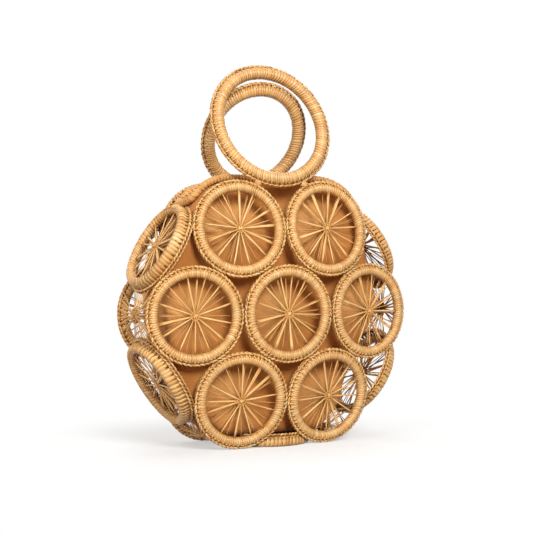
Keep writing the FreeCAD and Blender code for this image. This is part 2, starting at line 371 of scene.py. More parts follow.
class Bundle:
    """Many strands in one mesh."""

    FIBRE_ALONG: ClassVar[float] = 60.0
    FIBRE_ACROSS: ClassVar[float] = 2200.0
    FIBRE_DEEP: ClassVar[float] = 0.7
    FIBRE_JUMPS: ClassVar[tuple[float, float]] = (91.0, 37.0)

    def __init__(self) -> None:
        """Start with no strands."""
        self.parts: list[tuple[np.ndarray, ...]] = []
        self.count = 0

    def lay(self, unit: StrandUnit, lines: np.ndarray, face: np.ndarray, width: object, thick: object,
            tone: np.ndarray, gap: object = 0.0, taper: float = 0.6) -> None:
        """Lay a strand along each line.

        Args:
            unit: The strand.
            lines: Points of the lines, one row for each strand and level.
            face: Direction that the strands' flat sides look in.
            width: Half widths.
            thick: Half thicknesses.
            tone: One shade from 0 to 1 for each strand.
            gap: How deep in shade the strands lie, from 0 to 1, by strand and level.
            taper: Width of the ends as a share of the width.
        """
        count, levels = lines.shape[:2]
        along = unit_vector(np.gradient(lines, axis=1))
        side = unit_vector(np.cross(np.broadcast_to(face, lines.shape), along))
        front = np.cross(along, side)
        ends = 1 - (1 - taper) * np.abs(2 * unit.levels - 1) ** 4
        wide = np.broadcast_to(width, (count, levels)) * ends
        deep = np.broadcast_to(thick, (count, levels)) * ends
        at = unit.level_of
        points = lines[:, at] + side[:, at] * (wide[:, at] * unit.side)[..., None]
        points += front[:, at] * (deep[:, at] * unit.face)[..., None]
        steps = np.linalg.norm(np.diff(lines, axis=1), axis=2)
        run = np.concatenate([np.zeros((count, 1)), np.cumsum(steps, axis=1)], axis=1)
        fibre = np.empty(points.shape)
        fibre[..., 0] = run[:, at] * self.FIBRE_ALONG + tone[:, None] * self.FIBRE_JUMPS[0]
        fibre[..., 1] = tone[:, None] * self.FIBRE_JUMPS[1]
        fibre[..., 2] = unit.side * np.mean(wide, axis=1)[:, None] * self.FIBRE_ACROSS + unit.face * self.FIBRE_DEEP
        shape = points.shape[:2]
        tones = np.broadcast_to(tone[:, None], shape)
        # Painted shade, standing in for the shade that the strands lie in
        painted_shades = np.clip(np.broadcast_to(gap, (count, levels)), 0, 1)[:, at]
        offsets = self.count + np.arange(count)[:, None] * shape[1]
        self.parts.append((points.reshape(-1, 3), fibre.reshape(-1, 3), tones.ravel(), painted_shades.ravel(),
                           (unit.corners[None] + offsets).ravel(), np.tile(unit.totals, count)))
        self.count += count * shape[1]

    def piece(self, name: str) -> bpy.types.Object:
        """Make the mesh object.

        Args:
            name: The piece's name.

        Returns:
            The new object.
        """
        points, fibre, tone, gap, corners, totals = (np.concatenate(part) for part in zip(*self.parts))
        points[:, 2] = np.maximum(points[:, 2], 0.0)
        mesh = bpy.data.meshes.new(name)
        mesh.vertices.add(len(points))
        mesh.loops.add(len(corners))
        mesh.polygons.add(len(totals))
        mesh.vertices.foreach_set("co", points.astype(np.float32).ravel())
        mesh.loops.foreach_set("vertex_index", corners.astype(np.int32))
        mesh.polygons.foreach_set("loop_start", (np.cumsum(totals) - totals).astype(np.int32))
        mesh.update(calc_edges=True)
        mesh.validate()
        made = bpy.data.objects.new(name, mesh)
        bpy.context.scene.collection.objects.link(made)
        Bench.attribute(made, "fibre", fibre)
        Bench.attribute(made, "tone", tone)
        # Painted shade, read by the straw finish
        Bench.attribute(made, "gap", gap)
        Bench.outwards(made)
        return made


class Nodes:
    """Node tree of a material or a world."""

    def __init__(self, owner: bpy.types.ID) -> None:
        """Start on the nodes of a new material or world."""
        owner.use_nodes = True
        self.owner = owner
        self.tree = owner.node_tree
        self.shader = self.tree.nodes.get("Principled BSDF")

    def fill(self, socket: bpy.types.NodeSocket, value: object) -> None:
        """Give an input a value, or link an output to it."""
        if isinstance(value, bpy.types.NodeSocket):
            self.tree.links.new(value, socket)
        else:
            socket.default_value = value

    def add(self, kind: str, inputs: dict | None = None, **settings: object) -> bpy.types.Node:
        """Add a node.

        Args:
            kind: The node's type.
            inputs: Values or output sockets for its inputs.
            settings: Values of the node's properties.

        Returns:
            The node.
        """
        node = self.tree.nodes.new(kind)
        for key, value in settings.items():
            setattr(node, key, value)
        for key, value in (inputs or {}).items():
            self.fill(node.inputs[key], value)
        return node

    def surface(self, inputs: dict) -> None:
        """Fill inputs of the surface shader."""
        for key, value in inputs.items():
            self.fill(self.shader.inputs[key], value)

    def place(self) -> bpy.types.NodeSocket:
        """Object coordinates."""
        return self.add("ShaderNodeTexCoord").outputs["Object"]

    def read(self, name: str, output: str = "Fac") -> bpy.types.NodeSocket:
        """An attribute of the piece."""
        return self.add("ShaderNodeAttribute", attribute_name=name).outputs[output]

    def noise(self, inputs: dict) -> bpy.types.NodeSocket:
        """Noise from 0 to 1."""
        return self.add("ShaderNodeTexNoise", inputs).outputs["Fac"]

    def math(self, operation: str, *values: object) -> bpy.types.NodeSocket:
        """Result of a sum."""
        return self.add("ShaderNodeMath", dict(enumerate(values)), operation=operation).outputs[0]

    def seen(self) -> bpy.types.NodeSocket:
        """One for what the camera sees, also in gloss or through a surface, and zero for light thrown back."""
        rays = self.add("ShaderNodeLightPath").outputs
        either = self.math("MAXIMUM", rays["Is Camera Ray"], rays["Is Glossy Ray"])
        return self.math("MAXIMUM", either, rays["Is Transmission Ray"])

    def ramp(self, factor: bpy.types.NodeSocket, stops: Sequence[tuple[float, Colour]]) -> bpy.types.NodeSocket:
        """Colours along a factor.

        Args:
            factor: The factor's socket.
            stops: Places and colours.

        Returns:
            The colour socket.
        """
        node = self.add("ShaderNodeValToRGB", {"Fac": factor})
        while len(node.color_ramp.elements) < len(stops):
            node.color_ramp.elements.new(0.5)
        for element, (spot, colour) in zip(node.color_ramp.elements, stops):
            element.position = spot
            element.color = (*colour, 1.0)
        return node.outputs["Color"]

    def mix(self, factor: object, first: object, second: object, blend: str = "MIX") -> bpy.types.NodeSocket:
        """Mix two colours.

        Args:
            factor: Share of the second.
            first: First colour or socket.
            second: Second colour or socket.
            blend: How they mix.

        Returns:
            The mixed colour's socket.
        """
        pair = [value if isinstance(value, bpy.types.NodeSocket) else (*value, 1.0) for value in (first, second)]
        node = self.add("ShaderNodeMix", data_type="RGBA", blend_type=blend)
        for index, value in zip((0, 6, 7), (factor, *pair)):
            self.fill(node.inputs[index], value)
        return node.outputs[2]

    def tint(self, colour: bpy.types.NodeSocket, factor: bpy.types.NodeSocket,
             stops: Sequence[tuple[float, Colour]]) -> bpy.types.NodeSocket:
        """Multiply a colour by colours along a factor.

        Args:
            colour: The colour's socket.
            factor: The factor's socket.
            stops: Places and colours.

        Returns:
            The new colour's socket.
        """
        return self.mix(1.0, colour, self.ramp(factor, stops), "MULTIPLY")


@dataclass(frozen=True)
class StrawFinish:
    """Dry straw: shades from strand to strand, fibres along each one, and painted shade between them, deepened and
    saturated where the strands' shade attribute is high.
    """

    name: str
    deep: Colour = (0.56, 0.285, 0.088)
    mid: Colour = (0.72, 0.43, 0.170)
    pale: Colour = (0.80, 0.62, 0.355)
    # Painted shade: the dark colour mixed in where the strands' shade attribute is high
    shade: Colour = (0.105, 0.032, 0.006)
    roughness: float = 0.42
    roughness_dry: float = 0.12
    roughness_slick: float = 0.08
    specular: float = 0.3
    sheen: float = 0.4
    sheen_roughness: float = 0.22
    bump: float = 0.35
    relief: float = 0.0004
    # Painted shade: how much the colour deepens and saturates where it is shaded
    shade_saturation: float = 0.8
    patch_scale: float = 34.0

    def build(self) -> bpy.types.Material:
        """Make the material."""
        nodes = Nodes(bpy.data.materials.new(self.name))
        gap = nodes.read("gap")
        colour = nodes.ramp(nodes.read("tone"), ((0.0, self.deep), (0.45, self.mid), (1.0, self.pale)))
        fibre = nodes.read("fibre", "Vector")
        streak = nodes.noise({"Vector": fibre, "Scale": 1.0, "Detail": 3.0, "Roughness": 0.6})
        colour = nodes.tint(colour, streak, ((0.28, (0.80, 0.74, 0.64)), (0.72, (1.07, 1.08, 1.06))))
        patch = nodes.noise({"Vector": nodes.place(), "Scale": self.patch_scale, "Detail": 2.0})
        colour = nodes.tint(colour, patch, ((0.3, (0.88, 0.85, 0.80)), (0.7, (1.06, 1.06, 1.04))))
        # Painted shade: deepen and saturate the colour, then mix it towards the shade colour, by the shade attribute
        shade_saturation = nodes.math("MULTIPLY_ADD", gap, self.shade_saturation, 1.0)
        colour = nodes.add("ShaderNodeGamma", {"Color": colour, "Gamma": shade_saturation}).outputs["Color"]
        rough = nodes.add("ShaderNodeMapRange", {"Value": streak, "To Min": self.roughness + self.roughness_dry,
                                                 "To Max": self.roughness - self.roughness_slick})
        bump = nodes.add("ShaderNodeBump", {"Height": streak, "Strength": self.bump, "Distance": self.relief})
        nodes.surface({"Base Color": nodes.mix(gap, colour, self.shade), "Roughness": rough.outputs["Result"],
                       "Specular IOR Level": self.specular, "Coat Weight": self.sheen,
                       "Coat Roughness": self.sheen_roughness, "Normal": bump.outputs["Normal"]})
        return nodes.owner


@dataclass(frozen=True)
class ClothFinish:
    """Plain cotton: soft mottling, a fine weave and faint creases, with painted light and shade from the tone
    attribute.
    """

    name: str
    deep: Colour
    pale: Colour
    # Painted shade: the tint where the cloth's tone attribute is low
    painted_shade_tint: Colour = (1.0, 1.0, 1.0)
    roughness: float = 0.82
    specular: float = 0.2
    sheen: float = 0.12
    mottle: float = 26.0
    weave: float = 1500.0
    weave_relief: float = 0.0003
    creases: float = 90.0
    crease_relief: float = 0.001

    def build(self) -> bpy.types.Material:
        """Make the material."""
        nodes = Nodes(bpy.data.materials.new(self.name))
        place = nodes.place()
        mottle = nodes.noise({"Vector": place, "Scale": self.mottle, "Detail": 4.0, "Roughness": 0.55})
        colour = nodes.ramp(mottle, ((0.3, self.deep), (0.7, self.pale)))
        # Painted light and shade: full colour where the tone attribute is high, tinted darker towards the painted
        # shade tint where it is low
        colour = nodes.tint(colour, nodes.read("tone"), ((0.0, self.painted_shade_tint), (1.0, (1.0, 1.0, 1.0))))
        thread = nodes.noise({"Vector": place, "Scale": self.weave, "Detail": 1.0})
        colour = nodes.tint(colour, thread, ((0.3, (0.9, 0.88, 0.85)), (0.7, (1.07, 1.07, 1.06))))
        crease = nodes.noise({"Vector": place, "Scale": self.creases, "Detail": 3.0, "Distortion": 0.6})
        soft = nodes.add("ShaderNodeBump", {"Height": crease, "Strength": 0.25, "Distance": self.crease_relief})
        fine = nodes.add("ShaderNodeBump", {"Height": thread, "Strength": 0.3, "Distance": self.weave_relief,
                                            "Normal": soft.outputs["Normal"]})
        nodes.surface({"Base Color": colour, "Normal": fine.outputs["Normal"], "Roughness": self.roughness,
                       "Specular IOR Level": self.specular, "Sheen Weight": self.sheen})
        return nodes.owner


@dataclass(frozen=True)
class WireFinish:
    """Plain drawn wire, dull with faint spots."""

    name: str
    deep: Colour = (0.16, 0.15, 0.14)
    pale: Colour = (0.34, 0.33, 0.31)
    spots: float = 420.0
    metal: float = 0.9
    roughness: float = 0.48

    def build(self) -> bpy.types.Material:
        """Make the material."""
        nodes = Nodes(bpy.data.materials.new(self.name))
        spots = nodes.noise({"Vector": nodes.place(), "Scale": self.spots, "Detail": 3.0})
        nodes.surface({"Base Color": nodes.ramp(spots, ((0.35, self.deep), (0.65, self.pale))),
                       "Metallic": self.metal, "Roughness": self.roughness})
        return nodes.owner


class Dresser:
    """Gives each piece its finish, its body and the node that it stands for."""

    def __init__(self) -> None:
        """Make the finishes."""
        self.wrap = StrawFinish("wound straw").build()
        self.web = StrawFinish("web straw", deep=(0.62, 0.31, 0.10), mid=(0.80, 0.48, 0.195), pale=(0.86, 0.63, 0.32),
                               roughness=0.40, specular=0.15, sheen=0.1).build()
        self.stitch = StrawFinish("stitched straw", deep=(0.50, 0.23, 0.06), mid=(0.70, 0.41, 0.155),
                                  pale=(0.80, 0.57, 0.285), sheen=0.2).build()
        # The pouch's last colour is the tint of its painted shade
        self.pouch = ClothFinish("caramel cotton", deep=(0.63, 0.305, 0.100), pale=(0.74, 0.40, 0.145),
                                 painted_shade_tint=(0.62, 0.46, 0.29)).build()
        self.hem = ClothFinish("caramel cotton hem", deep=(0.58, 0.29, 0.09), pale=(0.69, 0.38, 0.14)).build()
        self.wire = WireFinish("core wire").build()

    def dress(self, piece: bpy.types.Object, finish: bpy.types.Material, body: Body, slot: str, *nodes: str) -> None:
        """Finish a piece and set it in the frame.

        Args:
            piece: The mesh object.
            finish: Its material.
            body: The body that it moves with.
            slot: The record's material slot; not used.
            nodes: The solids that it stands for.
        """
        piece.data.materials.clear()
        piece.data.materials.append(finish)
        piece.data.polygons.foreach_set("use_smooth", np.ones(len(piece.data.polygons), dtype=bool))
        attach(piece, body.value)
        if nodes:
            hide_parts(*nodes)
        log.info("%s: %d faces, stands for %s", piece.name, len(piece.data.polygons), ", ".join(nodes) or "itself")

    def wires(self) -> None:
        """Finish the wires that stay as they are."""
        for name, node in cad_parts.items():
            if name.endswith(("_cores", "_core")):
                node.data.materials.clear()
                node.data.materials.append(self.wire)


@dataclass
class Winding:
    """Straw wound round and round a ring."""

    place: Place
    radius: float
    section: float
    turns: int
    seed: int
    groove: float = 0.00034
    slits: float = 0.9
    lean: float = 0.7
    lean_swing: float = 0.25
    lean_wave: float = 0.21
    # Painted shade on the winding's slope between the border's stitches: its span round the section in degrees from
    # outwards, how fast it eases in, and how dark it is
    seam: tuple[float, float] = (-36.0, 36.0)
    seam_fade: float = 20.0
    painted_seam_shade: float = 0.6
    around: int = 16
    inset: float = 0.0001
    proud: float = 0.00007
    width_spread: float = 0.3
    tone: float = 0.52
    tone_spread: float = 0.13
    fibre_round: float = 160.0
    fibre_along: float = 4.5
    fibre_jump: float = 13.0
    # Painted shade on the tube's sides, darkest where they face sideways
    painted_side_shade: float = 0.2

    # Share of a turn's width, height in grooves and painted shade of each column of points, the painted shade standing
    # in for the shade in the grooves between turns
    STEPS: ClassVar[np.ndarray] = np.array(((0.0, -1.0, 0.75), (0.14, 0.0, 0.10), (0.5, 0.35, 0.0), (0.86, 0.0, 0.10)))

    def build(self, name: str) -> bpy.types.Object:
        """Model the winding from a plain ring.

        Args:
            name: The piece's name.

        Returns:
            The new object.
        """
        columns = len(self.STEPS)
        segments = self.turns * columns
        piece = Bench.spun_ring(name, self.radius, self.section, segments, self.around)
        minor, column = Bench.ring_angles(piece, self.radius, segments)
        turn, step = np.divmod(column, columns)
        rng = np.random.default_rng(self.seed)
        width = 1 + self.width_spread * rng.uniform(-1, 1, self.turns)
        edges = np.concatenate([[0.0], np.cumsum(width)]) / width.sum()
        share, height, gap = (self.STEPS[:, index][step] for index in range(3))
        along = edges[turn] + share * (edges[turn + 1] - edges[turn])
        lean = self.lean + self.lean_swing * np.sin(np.arange(self.turns) * self.lean_wave + self.seed)
        angle = TURN * (along + lean[turn] * np.sin(minor) / self.turns)
        proud = rng.normal(0, self.proud, self.turns)
        outer = np.clip(np.cos(minor), 0, 1) ** 2
        depth = self.groove * (1 + self.slits * outer)
        level = self.section - self.inset + np.where(height < 0, height * depth, height * self.groove + proud[turn])
        shaped = self.place.points(self.radius + level * np.cos(minor), angle, level * np.sin(minor))
        shaped[:, 2] = np.maximum(shaped[:, 2], 0.0)
        Bench.move(piece, shaped)
        tone = np.clip(self.tone + self.tone_spread * rng.normal(0, 1, self.turns), 0, 1)
        fibre = np.stack([np.cos(minor) * self.section * self.fibre_round,
                          np.sin(minor) * self.section * self.fibre_round,
                          along * self.turns * self.fibre_along + self.fibre_jump * tone[turn]], axis=1)
        Bench.attribute(piece, "fibre", fibre)
        Bench.attribute(piece, "tone", tone[turn])
        # Painted shade in the grooves between turns, uneven from turn to turn and darker on the outer and inner sides,
        # and on the tube's sides
        uneven = 0.55 + 1.5 * rng.uniform(0, 1, self.turns) ** 2
        lines = gap * uneven[turn] * (0.42 + 0.4 * outer + 0.8 * np.clip(-np.cos(minor), 0, 1) ** 2)
        lines += self.painted_side_shade * (1 - np.abs(np.sin(minor)))
        # Painted shade on the slope between the border's stitches
        first, last = self.seam
        edge = np.minimum(np.degrees(minor) - first, last - np.degrees(minor))
        painted_seam_shade = self.painted_seam_shade * np.clip(edge / self.seam_fade, 0, 1)
        Bench.attribute(piece, "gap", np.clip(np.maximum(lines, painted_seam_shade), 0, 1))
        Bench.outwards(piece)
        return piece


@dataclass
class ChainBorder:
    """Chain-stitched cord round a ring, with the stitches that hold it to the winding."""

    bundle: Bundle
    place: Place
    radius: float
    stitches: int
    seed: int
    half_height: float = 0.0013
    half_breadth: float = 0.0010
    strand: float = 0.0011
    flatness: float = 0.72
    overlap: float = 1.5
    jitter: float = 0.12
    core_width: float = 0.0008
    core_thick: float = 0.0006
    # Painted shade: the core strand's dark tone and shade stand in for the shade inside the cord
    core_tone: float = 0.2
    core_painted_shade: float = 0.7
    # Painted shade at the strands' ends
    end_shade: float = 0.6
    tie_thick: float = 0.0003
    tie_hug: float = 0.0002
    tie_lift: float = 0.0007
    tie_slant: float = 0.02
    tie_bend: float = 0.75
    tie_jitter: float = 0.15
    # Painted shade on the stitches' ends next to the cord
    tie_shade: float = 0.48
    level_end: float = 18.0
    dropped_end: float = -25.0

    unit: ClassVar[StrandUnit] = StrandUnit(5, 3)
    core: ClassVar[StrandUnit] = StrandUnit(5, 47)

    def lay(self) -> None:
        """Lay the cord's slanted strands, which cross over in front and back again behind, round a dark core strand
        that is painted shade inside the cord; the strands' ends get painted shade too.
        """
        rng = np.random.default_rng(self.seed)
        round_once = self.place.points(self.radius, self.core.levels[None] * TURN, 0.0)
        self.bundle.lay(self.core, round_once, self.place.normal, self.core_width, self.core_thick,
                        np.array((self.core_tone,)), self.core_painted_shade, taper=1.0)
        levels = self.unit.levels[None]
        step = TURN / self.stitches
        for over in (1.0, -1.0):
            start = (np.arange(self.stitches) + rng.uniform(-self.jitter, self.jitter, self.stitches)) * step
            angle = start[:, None] + (levels - 0.5) * step * self.overlap
            reach = self.radius + over * (levels - 0.5) * 2 * self.half_breadth
            lift = over * self.half_height * np.sin(math.pi * levels) ** 0.6
            lines = self.place.points(reach, angle, lift)
            tone = np.clip(rng.normal(0.56, 0.2, self.stitches), 0, 1)
            width = self.strand * rng.uniform(0.84, 1.08, (self.stitches, 1))
            # Painted shade at both ends of each strand
            dark = self.end_shade * np.abs(2 * levels - 1) ** 4
            self.bundle.lay(self.unit, lines, self.place.normal * over, width, self.strand * self.flatness, tone, dark,
                            taper=0.35)

    def tie(self, ring_radius: float, section: float, count: int, width: float, drop: float, begin: float,
            neck: float) -> None:
        """Lay the stitches from the winding to the cord.

        Args:
            ring_radius: Radius of the winding's middle line.
            section: Radius of the winding.
            count: Stitches round the ring on each side.
            width: Half width of a stitch.
            drop: How far the cord lies behind the winding's plane.
            begin: Angle round the winding where a stitch starts, in degrees from outwards.
            neck: Width at the cord as a share of the width on the winding.
        """
        rng = np.random.default_rng(self.seed + 7)
        levels = self.unit.levels[None]
        end = self.dropped_end if drop else self.level_end
        for over in ((1.0, -1.0) if drop == 0 else (1.0,)):
            turn = np.radians(begin + (end - begin) * np.minimum(levels / self.tie_bend, 1.0))
            hug = section + self.tie_hug
            reach = ring_radius + hug * np.cos(turn)
            lift = hug * np.sin(turn)
            late = np.clip((levels - self.tie_bend) / (1 - self.tie_bend), 0, 1)
            reach = reach + (self.radius - reach) * late
            lift = lift + (-drop + (0.0 if drop else self.tie_lift) - lift) * late
            angle = (np.arange(count) + rng.uniform(-self.tie_jitter, self.tie_jitter, count))[:, None] * TURN / count
            lines = self.place.points(reach, angle + self.tie_slant * levels, lift * over)
            face = self.place.outward(angle) * np.cos(turn)[..., None]
            face = face + self.place.normal * over * np.sin(turn)[..., None]
            tone = np.clip(rng.normal(0.52, 0.17, count), 0, 1)
            wide = width * rng.uniform(0.88, 1.06, (count, 1)) * (1 - (1 - neck) * np.clip(levels * 2 - 1, 0, 1))
            # Painted shade on the last quarter of each stitch, next to the cord
            dark = self.tie_shade * np.clip(levels * 4 - 3, 0, 1)
            self.bundle.lay(self.unit, lines, face, wide, self.tie_thick, tone, dark, taper=0.95)


@dataclass(frozen=True)
class Layer:
    """One side of a web: its spokes and the hub that they are drawn into."""

    spokes: int
    strands: float
    width: float
    hub_lift: float
    rim_lift: float
    # Tone, then painted shade of the spokes and of the hub; the back layer is darker as it lies in shade
    tone: float
    gap: float
    hub_painted_shade: float


@dataclass
class SpokeWeb:
    """Star of straw strands on both sides of a ring, drawn together in a knotted hub."""

    place: Place
    seed: int
    ring_radius: float = CAGE.ring_radius
    section: float = CAGE.wrap_radius
    front_spokes: int = 13
    back_spokes: int = 24
    strands: float = 1.7
    back_strands_share: float = 0.8
    most_strands: int = 3
    width: float = 0.00072
    back_width: float = 0.00038
    thick: float = 0.0003
    overrun: float = 0.0016
    rim_bite: float = 0.0006
    bow: float = 0.00035
    sway: float = 0.010
    hub_radius: float = 0.0038
    hub_width: float = 0.0006
    hub_thick: float = 0.00045
    hub_waver: float = 0.00035
    hub_wave: float = 0.00065
    # Painted shade round the hub and where the spokes meet the ring
    hub_shade: float = 0.75
    hub_shade_reach: float = 0.0046
    rim_shade: float = 0.4
    knots: int = 6

    spoke: ClassVar[StrandUnit] = StrandUnit(6, 5)
    coil: ClassVar[StrandUnit] = StrandUnit(5, 47)

    def spokes(self, bundle: Bundle, layer: Layer) -> None:
        """Lay one layer of spokes.

        Args:
            bundle: Where the strands go.
            layer: The layer.
        """
        rng = np.random.default_rng(self.seed + int(layer.gap * 100))
        first = rng.uniform(0, 1)
        angles, fans, widths, tones = [], [], [], []
        for index in range(layer.spokes):
            centre = TURN * (index + first) / layer.spokes + rng.normal(0, 0.05)
            strands = min(int(rng.poisson(layer.strands - 1)) + 1, self.most_strands)
            shade = rng.normal(layer.tone, 0.12)
            for strand in range(strands):
                angles.append(centre + rng.normal(0, 0.012))
                fans.append((strand - (strands - 1) / 2) * rng.uniform(0.018, 0.034))
                widths.append(layer.width * rng.uniform(0.75, 1.3))
                tones.append(shade + rng.normal(0, 0.07))
        angle, fan = np.array(angles)[:, None], np.array(fans)[:, None]
        levels = self.spoke.levels[None]
        lean = math.asin(min(1.0, abs(layer.rim_lift) / self.section))
        rim = self.ring_radius - self.section * math.cos(lean) + self.rim_bite
        radius = -self.overrun + (rim + self.overrun) * levels
        bow = rng.normal(0, self.bow, angle.shape) * np.sin(math.pi * levels)
        lift = layer.hub_lift + (layer.rim_lift - layer.hub_lift) * levels + bow
        swing = angle + fan * levels + rng.normal(0, self.sway, angle.shape) * np.sin(math.pi * levels)
        lines = self.place.points(radius, swing, lift)
        # Painted shade: the layer's own, more round the hub and at the rim end
        dark = layer.gap + self.hub_shade * np.exp(-(radius / self.hub_shade_reach) ** 2)
        dark = dark + self.rim_shade * np.clip(levels * 10 - 9, 0, 1)
        bundle.lay(self.spoke, lines, self.place.normal, np.array(widths)[:, None], self.thick, np.clip(tones, 0, 1),
                   dark, 0.85)

    def hub(self, bundle: Bundle, lift: float, spokes: int, gap: float) -> None:
        """Weave rings of straw through the spokes, and knot the middle.

        Args:
            bundle: Where the strands go.
            lift: Height of the hub over the ring's plane.
            spokes: Spokes that it is woven through.
            gap: How far in shade it lies.
        """
        rng = np.random.default_rng(self.seed + 31)
        levels = self.coil.levels[None]
        radii = self.hub_radius * np.array((0.62, 0.98, 1.12))[:, None]
        angle = levels * TURN * 1.02 + np.array((0.0, 2.0, 4.1))[:, None]
        wave = np.cos(angle * spokes + np.array((0.0, math.pi, 0.6))[:, None])
        radii = radii + self.hub_waver * np.sin(angle * spokes * 0.5)
        lines = self.place.points(radii, angle, lift + self.hub_wave * wave)
        # Painted shade where the hub's coils dip under the spokes
        bundle.lay(self.coil, lines, self.place.normal, self.hub_width, self.hub_thick, rng.uniform(0.2, 0.55, 3),
                   gap + 0.35 - 0.35 * wave)
        levels = self.spoke.levels[None]
        turn = rng.uniform(0, TURN, self.knots)[:, None]
        reach = (levels - 0.5) * 2 * rng.uniform(0.0018, 0.0030, self.knots)[:, None]
        offset = rng.normal(0, 0.0006, self.knots)[:, None]
        rise = np.sign(lift) * (0.0007 + 0.0005 * np.cos((levels - 0.5) * math.pi))
        flat = self.place.points(reach, turn, lift + rise)
        lines = flat + self.place.outward(turn + math.pi / 2) * offset[..., None]
        # Painted shade at the knots' ends
        bundle.lay(self.spoke, lines, self.place.normal, self.hub_width, self.hub_thick,
                   rng.uniform(0.3, 0.7, self.knots), gap + 0.5 * np.abs(2 * levels - 1) ** 3)

    def build(self, name: str) -> bpy.types.Object:
        """Make the web.

        Args:
            name: The piece's name.

        Returns:
            The new object.
        """
        bundle = Bundle()
        # The back layer gets a lower tone and painted shade, standing in for the shade behind the ring
        layers = (Layer(self.front_spokes, self.strands, self.width, hub_lift=0.0013, rim_lift=0.0018, tone=0.66,
                        gap=0.0, hub_painted_shade=0.0),
                  Layer(self.back_spokes, self.strands * self.back_strands_share, self.back_width, hub_lift=-0.0024,
                        rim_lift=-0.0022, tone=0.5, gap=0.18, hub_painted_shade=0.08))
        for layer in layers:
            self.spokes(bundle, layer)
        for layer in layers:
            self.hub(bundle, layer.hub_lift, layer.spokes, layer.hub_painted_shade)
        return bundle.piece(name)


@dataclass
class Panel:
    """One domed panel of seven rings."""

    face: Face
    dresser: Dresser
    turns: int = 116
    stitches: int = 66
    tie_width: float = 0.0011
    tie_begin: float = 56.0
    tie_neck: float = 0.6
    first_seed: int = 100

    def build(self) -> None:
        """Build the rings, webs and borders."""
        name, out = self.face.value
        borders = Bundle()
        for index, spot in enumerate(Spot):
            place = CAGE.panel_place(spot, self.face)
            seed = self.first_seed + index + int(out + 1) * 50
            ring = f"{name}_ring_{spot.value[0]}"
            wound = Winding(place, CAGE.ring_radius, CAGE.wrap_radius, self.turns, seed).build(ring + "_straw")
            self.dresser.dress(wound, self.dresser.wrap, Body.BAG, "wrapped_straw", ring)
            web = f"{name}_web_{spot.value[0]}"
            spun = SpokeWeb(place, seed).build(web + "_straw")
            self.dresser.dress(spun, self.dresser.web, Body.BAG, "web_straw", web)
            chain = ChainBorder(borders, place, CAGE.border_ring_radius, self.stitches, seed)
            chain.lay()
            chain.tie(CAGE.ring_radius, CAGE.wrap_radius, self.stitches, self.tie_width, 0.0, self.tie_begin,
                      self.tie_neck)
        self.dresser.dress(borders.piece(name + "_borders_straw"), self.dresser.stitch, Body.BAG, "border_straw",
                           name + "_borders")


